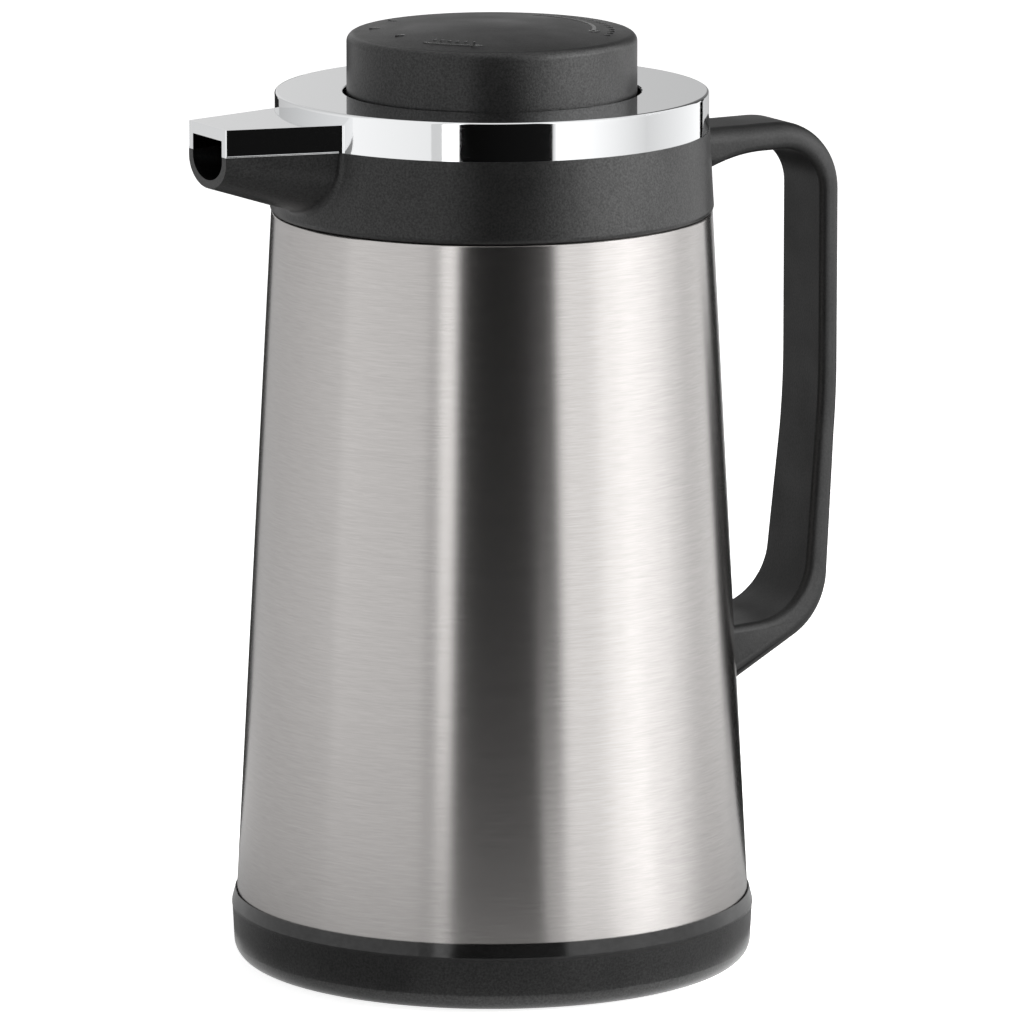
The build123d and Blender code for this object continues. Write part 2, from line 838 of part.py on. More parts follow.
def foot_plate():
    """Backing plate inside the steel, behind the handle's foot."""
    low = foot_screw_z - plate_half_height
    high = foot_screw_z + plate_half_height
    near = foot_seat_x()
    inside = turned(
        [(0, low), (steel_radius(low) - steel_wall, low), (steel_radius(high) - steel_wall, high), (0, high)]
    )
    plate = inside & block((near, -plate_half_width, low), (shell_foot_r, plate_half_width, high))
    for y in (-handle_screw_y, handle_screw_y):
        plate -= cross_rod(screw_shank, 2 * plate_thick, (near - 1, y, foot_screw_z))
    return plate


def cross_screw(x, y, z, length):
    """Screw along +X with its head on the near side of x."""
    head = cross_rod(screw_head, screw_head_height, (x - screw_head_height, y, z))
    return head + cross_rod(screw_shank, length, (x, y, z))


def up_screw(x, y, z, length):
    """Screw pointing up with its head under z."""
    head = rod(screw_head, screw_head_height, (x, y, z - screw_head_height))
    return head + rod(screw_shank, length, (x, y, z))


def handle_top_screws():
    """Screws from inside the collar into the handle's upper end."""
    pair = (-handle_screw_y, handle_screw_y)
    return group(cross_screw(pad_x, y, handle_screw_z, top_screw_length) for y in pair)


def handle_foot_screws():
    """Screws through plate and steel into the handle's foot."""
    pair = (-handle_screw_y, handle_screw_y)
    return group(cross_screw(foot_seat_x(), y, foot_screw_z, foot_screw_length) for y in pair)


def collar_screws():
    """Screws that clamp the steel's flange between ring and collar."""
    z = shell_high - steel_wall - clamp_height
    return group(up_screw(x, y, z, screw_length) for x, y in around(4, collar_screw_r, 45))


def ring_screws():
    """Screws that hold the plated ring on the collar's deck."""
    return group(up_screw(x, y, ring_z - deck, ring_screw_length) for x, y in ring_screw_spots())


# ---- stopper ----

def stopper_carrier():
    """Plug that fills the well: rim, wall, floor and a keyed tower that guides the valve's stem."""
    outer = well_r - slide_gap
    inner = outer - carrier_wall
    foot = well_top_z - carrier_height
    guide = stem_r + slide_gap
    tower = guide + guide_wall
    rim_r = well_outer - rim_margin
    top = well_top_z + carrier_rim
    floor_top = foot + carrier_floor
    body = turned(
        [
            (spindle_r + bearing_gap, tower_top),
            (guide, tower_top),
            (guide, guide_foot_z),
            (tower, guide_foot_z),
            (tower, foot),
            (outer, foot),
            (outer, well_top_z),
            (rim_r, well_top_z),
            (rim_r, top),
            (inner, top),
            (inner, floor_top),
            (tower, floor_top),
            (tower, tower_top + tower_cap),
            (spindle_r + bearing_gap, tower_top + tower_cap),
        ]
    )
    groove_low = foot + seal_rise
    body -= turned(
        [
            (outer - seal_section, groove_low),
            (outer + 1, groove_low),
            (outer + 1, groove_low + seal_section),
            (outer - seal_section, groove_low + seal_section),
        ]
    )
    half = (key_width + slide_gap) / 2
    reach = guide + key_depth
    keyway = block((-half, -reach, guide_foot_z - 1), (half, reach, tower_top))
    return body - keyway


def carrier_seal():
    """Silicone ring in the carrier's groove, against the well's wall."""
    low = well_top_z - carrier_height + seal_rise
    inner = well_r - slide_gap - seal_section
    outer = well_r - seal_gap
    high = low + seal_section
    outline = [(inner, low), (outer, low), (outer, high), (inner, high)]
    return turned(outline, [((outer, low), seal_round), ((outer, high), seal_round)])


def knob_cap():
    """Turning knob: dished top with a rounded edge, skirt, ribs and the boss of its spindle."""
    inside = knob_r - knob_wall
    ceiling = knob_top - knob_wall - knob_dish
    rim = knob_r - dish_margin
    hollow = knob_top - knob_dish
    dish = ThreePointArc((0, hollow), (rim / 2, hollow + knob_dish / 4), (rim, knob_top))
    rest = Polyline(
        (rim, knob_top),
        (knob_r, knob_top),
        (knob_r, knob_foot),
        (inside, knob_foot),
        (inside, ceiling),
        (0, ceiling),
        (0, hollow),
    )
    face = make_face([dish, rest])
    edge = face.vertices().sort_by_distance(Vector(knob_r, knob_top, 0))[0]
    cap = revolve(Plane.XZ * fillet(edge, knob_round), axis=Axis.Z)
    boss_foot = tower_top + tower_cap + boss_clear
    boss = spindle_r + shoulder_width
    cap += rod(boss, ceiling - boss_foot, (0, 0, boss_foot))
    for i in range(rib_count):
        rib = block((boss - 1, -rib_half, ceiling - rib_height), (inside + 0.5, rib_half, ceiling + 0.5))
        cap += Rot(0, 0, 360.0 * i / rib_count) * rib
    return cap - rod(spindle_r, ceiling - spindle_room - boss_foot + 1, (0, 0, boss_foot - 1))


def knob_spindle():
    """Spindle pressed into the knob: shoulder, journal, clip groove and lifting screw."""
    shoulder = tower_top + tower_cap + shoulder_gap
    top = knob_top - knob_wall - knob_dish - spindle_room - spindle_end_gap
    neck = spindle_r - clip_bite - 0.1
    low = nut_floor + valve_lift + thread_gap
    groove_low = clip_top - clip_thick - bearing_gap
    return turned(
        [
            (0, low),
            (screw_r, low),
            (screw_r, groove_low - clip_lip),
            (spindle_r, groove_low - clip_lip),
            (spindle_r, groove_low),
            (neck, groove_low),
            (neck, clip_top + bearing_gap),
            (spindle_r, clip_top + bearing_gap),
            (spindle_r, shoulder),
            (spindle_r + shoulder_width, shoulder),
            (spindle_r + shoulder_width, shoulder + shoulder_height),
            (spindle_r, shoulder + shoulder_height),
            (spindle_r, top),
            (0, top),
        ]
    )


def knob_clip():
    """Snap ring that keeps the spindle in the tower, open at one side."""
    low = clip_top - clip_thick
    inner = spindle_r - clip_bite
    ring = turned([(inner, low), (clip_r, low), (clip_r, clip_top), (inner, clip_top)])
    return ring - block((0, -clip_open / 2, low - 1), (clip_r + 1, clip_open / 2, clip_top + 1))


def valve_body():
    """Valve: disc with a conical flank, keyed stem with the nut, and a wall for the bottom cap."""
    nut = screw_r + thread_gap
    cup = nut + plug_wall
    disc_top = flank_z + valve_disc
    wall_foot = plug_foot_z + plug_foot_height + 0.1
    body = turned(
        [
            (0, nut_floor - plug_wall),
            (cup, nut_floor - plug_wall),
            (cup, flank_z - disc_sink),
            (plug_r - plug_wall, flank_z - disc_sink),
            (plug_r - plug_wall, wall_foot),
            (plug_r, wall_foot),
            (plug_r, seal_foot_z),
            (flank_r, flank_z),
            (valve_r, flank_z),
            (valve_r, disc_top),
            (stem_r, disc_top),
            (stem_r, stem_top_z),
            (nut, stem_top_z),
            (nut, nut_floor),
            (0, nut_floor),
        ],
        [((valve_r, disc_top), valve_round)],
    )
    half = key_width / 2
    key_top = stem_top_z - key_drop
    reach = stem_r + key_depth
    keys = block((-half, -reach, key_top - key_height), (half, reach, key_top))
    keys -= rod(nut + 1, 2 * key_height, (0, 0, key_top - key_height - 1))
    return body + keys


def valve_seal():
    """Silicone cone ring on the valve's flank, opposite the seat."""
    out_r = seat_r - seat_depth - seal_gap * 2**0.5
    corner_z = out_r - seal_line
    return turned(
        [
            (plug_r, seal_foot_z - seal_lip),
            (out_r, corner_z - seal_lip),
            (out_r, corner_z),
            (flank_z + seal_line, flank_z),
            (flank_r, flank_z),
            (plug_r, seal_foot_z),
        ]
    )


def valve_foot():
    """Bottom cap of the valve, screwed into its wall."""
    spigot = plug_r - plug_wall - spigot_play
    z = plug_foot_z
    return turned(
        [
            (0, z),
            (plug_r, z),
            (plug_r, z + plug_foot_height),
            (spigot, z + plug_foot_height),
            (spigot, z + plug_foot_height + spigot_height),
            (spigot - plug_wall, z + plug_foot_height + spigot_height),
            (spigot - plug_wall, z + plug_floor),
            (0, z + plug_floor),
        ],
        [((plug_r, z), plug_round)],
    )


def valve_foam():
    """Insulating ring inside the valve."""
    outer = plug_r - 2 * plug_wall - foam_gap
    inner = screw_r + thread_gap + plug_wall + foam_gap
    low = plug_foot_z + plug_floor + foam_gap
    high = flank_z - disc_sink - foam_gap
    return turned([(inner, low), (outer, low), (outer, high), (inner, high)])


nodes = {
    "base_ring": base_ring,
    "base_trim": base_trim,
    "foot_ring": foot_ring,
    "bottom_cap": bottom_cap,
    "flask_outer": flask_outer,
    "flask_inner": flask_inner,
    "flask_spacers": flask_spacers,
    "flask_cushion": flask_cushion,
    "flask_band": flask_band,
    "neck_gasket": neck_gasket,
    "steel_shell": steel_shell,
    "clamp_ring": clamp_ring,
    "collar": collar,
    "pour_well": pour_well,
    "collar_screws": collar_screws,
    "top_ring": top_ring,
    "ring_screws": ring_screws,
    "handle_shell": handle_shell,
    "handle_cover": handle_cover,
    "handle_top_screws": handle_top_screws,
    "handle_foot_plate": foot_plate,
    "handle_foot_screws": handle_foot_screws,
    "stopper_carrier": stopper_carrier,
    "carrier_seal": carrier_seal,
    "knob_cap": knob_cap,
    "knob_spindle": knob_spindle,
    "knob_clip": knob_clip,
    "valve_body": valve_body,
    "valve_seal": valve_seal,
    "valve_foot": valve_foot,
    "valve_foam": valve_foam,
}

for name, make in nodes.items():
    export_step(make(), f"parts/{name}.step")
    print("wrote", name)
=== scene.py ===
import math
import bpy
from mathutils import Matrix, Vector


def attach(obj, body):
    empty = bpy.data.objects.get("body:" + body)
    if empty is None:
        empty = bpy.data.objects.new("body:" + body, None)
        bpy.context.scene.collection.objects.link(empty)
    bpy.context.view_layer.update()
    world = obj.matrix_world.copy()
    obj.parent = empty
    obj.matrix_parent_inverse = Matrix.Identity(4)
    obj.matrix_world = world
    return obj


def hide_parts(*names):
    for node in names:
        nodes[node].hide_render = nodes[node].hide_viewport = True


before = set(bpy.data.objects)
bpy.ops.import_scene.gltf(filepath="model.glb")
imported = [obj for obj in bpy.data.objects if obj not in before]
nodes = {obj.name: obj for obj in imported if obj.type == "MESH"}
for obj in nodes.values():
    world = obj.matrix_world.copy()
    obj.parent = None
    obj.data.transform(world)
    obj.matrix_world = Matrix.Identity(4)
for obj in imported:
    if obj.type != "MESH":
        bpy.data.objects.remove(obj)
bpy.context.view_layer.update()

mm = 0.001


def linear(hexColour):
    # sRGB hex such as "c8c4be" to the linear values that shaders work in
    parts = [int(hexColour[i:i + 2], 16) / 255 for i in (0, 2, 4)]
    return [c / 12.92 if c <= 0.04045 else ((c + 0.055) / 1.055) ** 2.4 for c in parts] + [1.0]


def brighter(hexColour, times):
    return [min(1, c * times) for c in linear(hexColour)[:3]] + [1.0]


def newMaterial(name):
    material = bpy.data.materials.new(name)
    material.use_nodes = True
    tree = material.node_tree
    tree.nodes.clear()
    return material, tree


def addNode(tree, kind, settings=None, links=None):
    # settings: attributes or input values by name or number; links: input to (node, output)
    node = tree.nodes.new(kind)
    for key, value in (settings or {}).items():
        if isinstance(key, int) or key in node.inputs:
            node.inputs[key].default_value = value
        else:
            setattr(node, key, value)
    for key, (source, output) in (links or {}).items():
        tree.links.new(source.outputs[output], node.inputs[key])
    return node


plasticFinish = {
    "pitHeight": 0.08, "shade": 1.5,  # pit depth in millimetres, and how much paler the lands are than the pits
    "patch": 16.667, "sheen": (-0.04, 0.06),  # size in millimetres of the patches over which gloss drifts
}


def mouldedPlastic(name, colour, roughness, grain=0.6, depth=0.5, ior=1.49, glint=0.13):
    # injection moulded plastic with a spark eroded grain; grain is the pit spacing in millimetres,
    # drawn at 0.6 where the real one is about 0.2, so that it shows
    f = plasticFinish
    material, tree = newMaterial(name)
    place = addNode(tree, "ShaderNodeTexCoord")
    pits = addNode(tree, "ShaderNodeTexNoise", {"Scale": 1 / (grain * mm), "Detail": 3.0, "Roughness": 0.6},
                   {"Vector": (place, "Object")})
    patches = addNode(tree, "ShaderNodeTexNoise", {"Scale": 1 / (f["patch"] * mm), "Detail": 2.0},
                      {"Vector": (place, "Object")})
    tint = addNode(tree, "ShaderNodeMix", {"data_type": "RGBA", 6: linear(colour), 7: brighter(colour, f["shade"])},
                   {0: (pits, 0)})
    sheen = addNode(tree, "ShaderNodeMapRange",
                    {"From Min": 0.3, "From Max": 0.7,
                     "To Min": roughness + f["sheen"][0], "To Max": roughness + f["sheen"][1]},
                    {"Value": (patches, 0)})
    bump = addNode(tree, "ShaderNodeBump", {"Strength": depth, "Distance": f["pitHeight"] * mm},
                   {"Height": (pits, 0)})
    # light is lost in the pits and kept on the lands between them
    lands = addNode(tree, "ShaderNodeMapRange",
                    {"From Min": 0.35, "From Max": 0.65, "To Min": 0.5 - glint, "To Max": 0.5 + glint},
                    {"Value": (pits, 0)})
    shader = addNode(tree, "ShaderNodeBsdfPrincipled", {"IOR": ior},
                     {"Base Color": (tint, 2), "Roughness": (sheen, 0), "Normal": (bump, 0),
                      "Specular IOR Level": (lands, 0)})
    addNode(tree, "ShaderNodeOutputMaterial", links={"Surface": (shader, 0)})
    return material


rubberFinish = {"ior": 1.43, "bloom": 1.18, "depth": 0.3, "height": 0.02}


def smoothRubber(name, colour, roughness, grain=0.8):
    # pressed rubber or silicone with a faint bloom, its spacing in millimetres
    f = rubberFinish
    material, tree = newMaterial(name)
    place = addNode(tree, "ShaderNodeTexCoord")
    bloom = addNode(tree, "ShaderNodeTexNoise", {"Scale": 1 / (grain * mm), "Detail": 4.0},
                    {"Vector": (place, "Object")})
    tint = addNode(tree, "ShaderNodeMix", {"data_type": "RGBA", 6: linear(colour), 7: brighter(colour, f["bloom"])},
                   {0: (bloom, 0)})
    bump = addNode(tree, "ShaderNodeBump", {"Strength": f["depth"], "Distance": f["height"] * mm},
                   {"Height": (bloom, 0)})
    shader = addNode(tree, "ShaderNodeBsdfPrincipled", {"Roughness": roughness, "IOR": f["ior"]},
                     {"Base Color": (tint, 2), "Normal": (bump, 0)})
    addNode(tree, "ShaderNodeOutputMaterial", links={"Surface": (shader, 0)})
    return material


turnedFinish = {"grain": 0.4, "shine": 1.25, "spread": (-0.06, 0.08)}


def turnedMetal(name, colour, roughness):
    # machined or drawn metal with a fine even grain, its spacing in millimetres
    f = turnedFinish
    material, tree = newMaterial(name)
    place = addNode(tree, "ShaderNodeTexCoord")
    grain = addNode(tree, "ShaderNodeTexNoise", {"Scale": 1 / (f["grain"] * mm), "Detail": 4.0, "Roughness": 0.7},
                    {"Vector": (place, "Object")})
    tint = addNode(tree, "ShaderNodeMix", {"data_type": "RGBA", 6: linear(colour), 7: brighter(colour, f["shine"])},
                   {0: (grain, 0)})
    spread = addNode(tree, "ShaderNodeMapRange",
                     {"To Min": roughness + f["spread"][0], "To Max": roughness + f["spread"][1]},
                     {"Value": (grain, 0)})
    shader = addNode(tree, "ShaderNodeBsdfPrincipled", {"Metallic": 1.0},
                     {"Base Color": (tint, 2), "Roughness": (spread, 0)})
    addNode(tree, "ShaderNodeOutputMaterial", links={"Surface": (shader, 0)})
    return material


print("materials")
steelFinish = {
    "colour": "bfbcba", "deepColour": "afacaa",
    "roughness": 0.25, "spread": 0.01, "anisotropy": 0.82,
    "lineHeight": 0.3,  # millimetres; real brush lines are about 0.05 and would not show
    "lineLength": 7.0, "lineRange": (0.35, 0.85), "lineDepth": 0.02, "bumpHeight": 0.01,
    "bandLength": 71.43, "bandHeight": 1.111, "bandShare": 0.2,  # wider passes of the brush
}


def brushedSteel():
    # 18/8 stainless steel brushed round the body: lines run round, so highlights smear up and down
    f = steelFinish
    material, tree = newMaterial("brushedStainlessSteel")
    place = addNode(tree, "ShaderNodeTexCoord")
    around, up = 1 / (f["lineLength"] * mm), 1 / (f["lineHeight"] * mm)
    fine = addNode(tree, "ShaderNodeMapping", {"Scale": (around, around, up)}, {"Vector": (place, "Object")})
    lines = addNode(tree, "ShaderNodeTexNoise", {"Scale": 1.0, "Detail": 5.0, "Roughness": 0.72},
                    {"Vector": (fine, 0)})
    around, up = 1 / (f["bandLength"] * mm), 1 / (f["bandHeight"] * mm)
    wide = addNode(tree, "ShaderNodeMapping", {"Scale": (around, around, up)}, {"Vector": (place, "Object")})
    bands = addNode(tree, "ShaderNodeTexNoise", {"Scale": 1.0, "Detail": 3.0}, {"Vector": (wide, 0)})
    both = addNode(tree, "ShaderNodeMath", {"operation": "MULTIPLY_ADD", 1: f["bandShare"]},
                   {0: (bands, 0), 2: (lines, 0)})
    share = addNode(tree, "ShaderNodeMapRange", {"From Min": f["lineRange"][0], "From Max": f["lineRange"][1]},
                    {"Value": (both, 0)})
    tint = addNode(tree, "ShaderNodeMix", {"data_type": "RGBA", 6: linear(f["deepColour"]), 7: linear(f["colour"])},
                   {0: (share, 0)})
    spread = addNode(tree, "ShaderNodeMapRange",
                     {"From Min": f["lineRange"][0], "From Max": f["lineRange"][1],
                      "To Min": f["roughness"] - f["spread"], "To Max": f["roughness"] + f["spread"]},
                     {"Value": (both, 0)})
    bump = addNode(tree, "ShaderNodeBump", {"Strength": f["lineDepth"], "Distance": f["bumpHeight"] * mm},
                   {"Height": (lines, 0)})
    tangent = addNode(tree, "ShaderNodeTangent", {"direction_type": "RADIAL", "axis": "Z"})
    shader = addNode(tree, "ShaderNodeBsdfPrincipled",
                     {"Metallic": 1.0, "Anisotropic": f["anisotropy"], "Anisotropic Rotation": 0.25},
                     {"Base Color": (tint, 2), "Roughness": (spread, 0), "Normal": (bump, 0), "Tangent": (tangent, 0)})
    addNode(tree, "ShaderNodeOutputMaterial", links={"Surface": (shader, 0)})
    return material


chromeFinish = {
    "colour": "e6e7e8", "roughness": (0.035, 0.07), "dust": 0.4,  # millimetres between dull specks
    "ripple": 11.111, "rippleDepth": 0.08, "rippleHeight": 0.05,  # millimetres from wave to wave, and its height
}


def chromePlate():
    # decorative chromium on moulded ABS: a clean mirror with the faint ripple of the moulding under it
    f = chromeFinish
    material, tree = newMaterial("chromePlatedAbs")
    place = addNode(tree, "ShaderNodeTexCoord")
    ripple = addNode(tree, "ShaderNodeTexNoise", {"Scale": 1 / (f["ripple"] * mm), "Detail": 2.0},
                     {"Vector": (place, "Object")})
    dust = addNode(tree, "ShaderNodeTexNoise", {"Scale": 1 / (f["dust"] * mm), "Detail": 2.0},
                   {"Vector": (place, "Object")})
    bump = addNode(tree, "ShaderNodeBump", {"Strength": f["rippleDepth"], "Distance": f["rippleHeight"] * mm},
                   {"Height": (ripple, 0)})
    spread = addNode(tree, "ShaderNodeMapRange",
                     {"From Min": 0.35, "From Max": 0.7, "To Min": f["roughness"][0], "To Max": f["roughness"][1]},
                     {"Value": (dust, 0)})
    shader = addNode(tree, "ShaderNodeBsdfPrincipled", {"Metallic": 1.0, "Base Color": linear(f["colour"])},
                     {"Roughness": (spread, 0), "Normal": (bump, 0)})
    addNode(tree, "ShaderNodeOutputMaterial", links={"Surface": (shader, 0)})
    return material


glassFinish = {
    "deepColour": "cdd0d0", "colour": "e2e4e3",
    "wave": 25.0, "waveDepth": 0.15, "waveHeight": 0.2,  # millimetres from wave to wave, and its height
}


def silveredGlass():
    # borosilicate glass, silvered inside its vacuum: a bright mirror under a clear gloss
    f = glassFinish
    material, tree = newMaterial("silveredBorosilicateGlass")
    place = addNode(tree, "ShaderNodeTexCoord")
    waves = addNode(tree, "ShaderNodeTexNoise", {"Scale": 1 / (f["wave"] * mm), "Detail": 2.0},
                    {"Vector": (place, "Object")})
    bump = addNode(tree, "ShaderNodeBump", {"Strength": f["waveDepth"], "Distance": f["waveHeight"] * mm},
                   {"Height": (waves, 0)})
    tint = addNode(tree, "ShaderNodeMix", {"data_type": "RGBA", 6: linear(f["deepColour"]), 7: linear(f["colour"])},
                   {0: (waves, 0)})
    shader = addNode(tree, "ShaderNodeBsdfPrincipled",
                     {"Metallic": 1.0, "Roughness": 0.08, "Coat Weight": 1.0, "Coat Roughness": 0.02},
                     {"Base Color": (tint, 2), "Normal": (bump, 0)})
    addNode(tree, "ShaderNodeOutputMaterial", links={"Surface": (shader, 0)})
    return material


steel = brushedSteel()
chrome = chromePlate()
glass = silveredGlass()
collarPlastic = mouldedPlastic("mouldedPolypropyleneCollar", "0f0f0f", 0.36, ior=1.46)
knobPlastic = mouldedPlastic("mouldedPolypropyleneKnob", "0f0f0f", 0.37, depth=0.7, ior=1.47)
markPlastic = mouldedPlastic("polishedPolypropyleneMark", "1c1c1c", 0.22, depth=0.1)
# handle and grip: partly their own black, partly painted shade; they are set darker than the collar and knob of the
# same plastic to stand in for the shade on the grip's inner face
handlePlastic = mouldedPlastic("mouldedPolypropyleneHandle", "0a0a0a", 0.40, ior=1.38, glint=0.06)
coverPlastic = mouldedPlastic("mouldedPolypropyleneGrip", "0a0a0a", 0.46, ior=1.36)
basePlastic = mouldedPlastic("mouldedAbsBase", "111111", 0.30, depth=0.2, ior=1.44)
trimPlastic = mouldedPlastic("polishedAbsTrim", "141414", 0.10, grain=1.5, depth=0.02, glint=0.05)
innerPlastic = mouldedPlastic("mouldedPolypropyleneStopper", "2b2b2c", 0.42)
footRubber = smoothRubber("thermoplasticRubberFoot", "2e2e2e", 0.75)
cushionRubber = smoothRubber("foamedRubber", "3a3a3a", 0.85, grain=1.2)
silicone = smoothRubber("milkySilicone", "c9c8c2", 0.38)
felt = smoothRubber("pressedFelt", "b5a68c", 0.95, grain=0.5)
foam = smoothRubber("expandedPolystyrene", "e4e3dd", 0.85, grain=2.0)
zinc = turnedMetal("zincPlatedSteel", "9aa0a2", 0.38)
screwMetal = turnedMetal("nickelPlatedScrew", "a9a7a2", 0.28)

finishes = {
    "steel_shell": steel, "top_ring": chrome, "collar": collarPlastic, "knob_cap": knobPlastic,
    "handle_shell": handlePlastic, "handle_cover": coverPlastic, "base_ring": basePlastic, "base_trim": trimPlastic,
    "bottom_cap": basePlastic, "foot_ring": footRubber, "flask_outer": glass, "flask_inner": glass,
    "flask_spacers": felt, "flask_cushion": cushionRubber, "flask_band": cushionRubber, "neck_gasket": silicone,
    "clamp_ring": zinc, "collar_screws": screwMetal, "ring_screws": screwMetal, "handle_top_screws": screwMetal,
    "handle_foot_plate": zinc, "handle_foot_screws": screwMetal, "stopper_carrier": innerPlastic,
    "carrier_seal": silicone, "knob_spindle": innerPlastic, "knob_clip": screwMetal, "valve_body": innerPlastic,
    "valve_seal": silicone, "valve_foot": innerPlastic, "valve_foam": foam, "pour_well": innerPlastic,
}
for nodeName, material in finishes.items():
    for slot in nodes[nodeName].material_slots:
        slot.material = material


def walkLine(points):
    # one vertex extruded from place to place, in millimetres, as (radius, height)
    first = points[0]
    bpy.ops.object.select_all(action="DESELECT")
    bpy.ops.mesh.primitive_plane_add(size=1, location=(first[0] * mm, 0, first[1] * mm))
    bpy.ops.object.mode_set(mode="EDIT")
    bpy.ops.mesh.select_mode(type="VERT")
    bpy.ops.mesh.select_all(action="SELECT")
    bpy.ops.mesh.merge(type="CENTER")
    for (r0, z0), (r1, z1) in zip(points, points[1:]):
        bpy.ops.mesh.extrude_vertices_move(TRANSFORM_OT_translate={"value": ((r1 - r0) * mm, 0, (z1 - z0) * mm)})
    bpy.ops.object.mode_set(mode="OBJECT")
    bpy.ops.object.transform_apply(location=True, rotation=True, scale=True)
    return bpy.context.object


def quarterRound(radius, height, turn, steps):
    # places over a rounded edge, from level to upright, round a middle at radius and height
    angles = [math.radians(90 - 90 * i / steps) for i in range(1, steps + 1)]
    return [(radius + turn * math.cos(a), height + turn * math.sin(a)) for a in angles]


def smoothPiece(piece, sharpAngle):
    # even shading that stays hard where faces meet at more than the angle
    bpy.ops.object.shade_smooth_by_angle(angle=math.radians(sharpAngle))
    evenShade = piece.modifiers.new("evenShade", "WEIGHTED_NORMAL")
    evenShade.keep_sharp = True
    bpy.ops.object.modifier_apply(modifier=evenShade.name)


def turnedPiece(name, points, steps, material):
    # the line spun round the axis, closed at its poles
    piece = walkLine(points)
    piece.name = name
    bpy.ops.object.mode_set(mode="EDIT")
    bpy.ops.mesh.select_all(action="SELECT")
    bpy.ops.mesh.spin(steps=steps, angle=2 * math.pi, center=(0, 0, 0), axis=(0, 0, -1))
    bpy.ops.mesh.select_all(action="SELECT")
    bpy.ops.mesh.remove_doubles(threshold=0.002 * mm)
    bpy.ops.mesh.normals_make_consistent(inside=False)
    bpy.ops.object.mode_set(mode="OBJECT")
    smoothPiece(piece, 40)
    piece.data.materials.append(material)
    return piece


# turning knob: upright side, rounded edge and a low dome, on the foot and radius of the solid knob
knobForm = {
    "radius": 39.8, "foot": 238.4, "edge": 258.5, "edgeRound": 2.4, "dome": 2.3, "wall": 2.2, "ceiling": 254.8,
    "footRound": 0.3, "domeSteps": 12, "edgeSteps": 8, "turnSteps": 192,
}


def domeHeight(radius):
    # height in millimetres of the knob's top at a radius
    f = knobForm
    return f["edge"] + f["dome"] * (1 - (radius / f["radius"]) ** 2)


def knobLine():
    # from the top's middle over the rounded edge, down the side and back up inside
    f = knobForm
    side, turn, foot, ceiling = f["radius"], f["edgeRound"], f["foot"], f["ceiling"]
    flat, inside = side - turn, side - f["wall"]
    dome = [flat * i / f["domeSteps"] for i in range(f["domeSteps"] + 1)]
    line = [(radius, domeHeight(radius)) for radius in dome]
    line += quarterRound(flat, domeHeight(flat) - turn, turn, f["edgeSteps"])
    line += [(side, foot + f["footRound"]), (side - f["footRound"], foot)]
    return line + [(inside, foot), (inside, ceiling), (0, ceiling)]


print("knob")
knob = turnedPiece("knobCap", knobLine(), knobForm["turnSteps"], knobPlastic)
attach(knob, "knob")
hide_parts("knob_cap")

# raised marks on the knob's dome: two turning arrows, a row of bars beside each, and three drops
knobMarks = {
    "rise": 0.12, "sunk": 0.5, "width": 1.1, "head": 2.1, "barWidth": 0.7, "dropPoint": 0.7, "bevel": 0.08,
    "arcs": [(28.0, 36, -40, -1), (30.5, -157, -128, 1)],  # radius, from, to, side of the arrow's head
    "bars": [(32.6, 36, -46, 14, 2.0), (26.6, -155, -130, 6, 1.6)],  # radius, from, to, bars, bar length
    "drops": [(31.5, 118, 1.9), (31.5, 146, 1.9), (27.5, 178, 1.9)],  # radius, place, size
    "arcSteps": 24, "dropSides": 16,
}


def markHeight():
    return knobMarks["rise"] * mm + knobMarks["sunk"] * mm


def markSpot(radius, turn):
    # middle of a mark that stands partly in the dome, at a radius and an angle
    foot = (domeHeight(radius) - knobMarks["sunk"]) * mm
    out = (radius * mm * math.cos(math.radians(turn)), radius * mm * math.sin(math.radians(turn)))
    return out + (foot + markHeight() / 2,)


def finishMark():
    bpy.ops.object.mode_set(mode="EDIT")
    bpy.ops.mesh.select_all(action="SELECT")
    bpy.ops.mesh.remove_doubles(threshold=0.01 * mm)
    bpy.ops.mesh.normals_make_consistent(inside=False)
    bpy.ops.object.mode_set(mode="OBJECT")
    bpy.ops.object.transform_apply(location=True, rotation=True, scale=True)
    return bpy.context.object


def arcMark(radius, start, end):
    # an upright strip swept round the axis
    bpy.ops.object.select_all(action="DESELECT")
    bpy.ops.mesh.primitive_plane_add(size=1, location=markSpot(radius, 0), rotation=(math.pi / 2, 0, 0))
    bpy.context.object.scale = (knobMarks["width"] * mm, markHeight(), 1)
    bpy.ops.object.transform_apply(location=True, rotation=True, scale=True)
    bpy.ops.object.mode_set(mode="EDIT")
    bpy.ops.mesh.select_all(action="SELECT")
    bpy.ops.mesh.spin(steps=knobMarks["arcSteps"], angle=math.radians(abs(end - start)),
                      center=(0, 0, 0), axis=(0, 0, -1))
    bpy.ops.object.mode_set(mode="OBJECT")
    bpy.context.object.rotation_euler = (0, 0, math.radians(min(start, end)))
    return finishMark()


def headMark(radius, turn, side):
    # the arrow's head points along the arc
    bpy.ops.object.select_all(action="DESELECT")
    bpy.ops.mesh.primitive_cylinder_add(vertices=3, radius=knobMarks["head"] * mm, depth=markHeight(),
                                        location=markSpot(radius, turn),
                                        rotation=(0, 0, math.radians(turn + (0 if side > 0 else 180))))
    return finishMark()


def barMark(radius, turn, length):
    bpy.ops.object.select_all(action="DESELECT")
    bpy.ops.mesh.primitive_cube_add(size=1, location=markSpot(radius, turn), rotation=(0, 0, math.radians(turn)))
    bpy.context.object.scale = (length * mm, knobMarks["barWidth"] * mm, markHeight())
    return finishMark()


